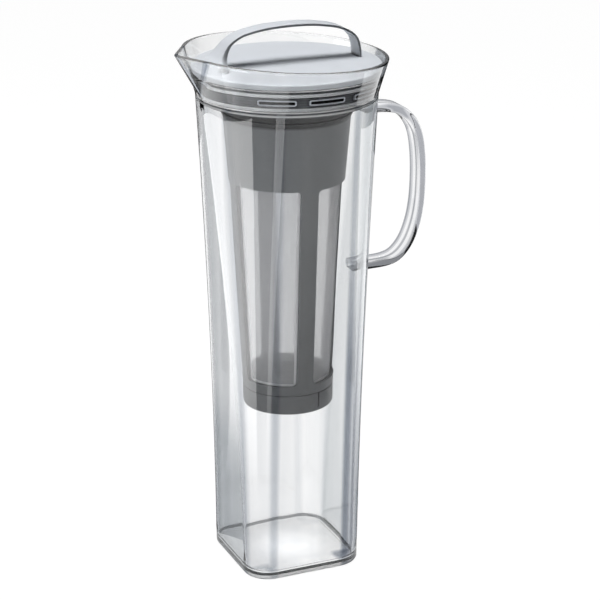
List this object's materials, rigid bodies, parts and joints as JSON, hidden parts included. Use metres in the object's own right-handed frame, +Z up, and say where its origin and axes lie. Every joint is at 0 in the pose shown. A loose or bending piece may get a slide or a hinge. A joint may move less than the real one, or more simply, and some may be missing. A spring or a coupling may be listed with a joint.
{
  "type": "iced tea maker",
  "caption": "Clear square-to-round fridge jug with spout and handle, and a plug-in lid with arched grip that carries a long mesh strainer.",
  "frame": {"origin": "centre of the jug's flat underside, on the axis of its round neck", "axes": "+Z up along the jug's axis, +X towards the jug's handle, -X towards the spout"},
  "size_m": [0.1388, 0.1054, 0.2934],
  "materials": {
    "clear_plastic": "clear, glossy",
    "lid_plastic": "satin",
    "plug_plastic": "satin",
    "silicone": "soft matte",
    "fine_mesh": "fine woven mesh"
  },
  "bodies": {
    "jug": {"jug_body": "clear_plastic", "jug_handle": "clear_plastic"},
    "seal_rings": {"upper_packing": "silicone", "lower_packing": "silicone"},
    "lid": {"lid_cap": "lid_plastic", "lid_plug": "plug_plastic"},
    "strainer": {"strainer_frame": "plug_plastic", "strainer_mesh": "fine_mesh"},
    "base_cap": {"strainer_base_cap": "plug_plastic"}
  },
  "joints": [
    {"name": "lid_lift", "type": "slide", "parent": "jug", "child": "seal_rings", "axis": [0, 0, 1], "range_m": [0, 0.2]},
    {"name": "lid_turn", "type": "hinge", "parent": "seal_rings", "child": "lid", "pos_m": [0, 0, 0.26], "axis": [0, 0, 1], "continuous": true},
    {"name": "strainer_release", "type": "slide", "parent": "lid", "child": "strainer", "axis": [0, 0, -1], "range_m": [0, 0.05]},
    {"name": "base_cap_release", "type": "slide", "parent": "strainer", "child": "base_cap", "axis": [0, 0, -1], "range_m": [0, 0.03]}
  ]
}
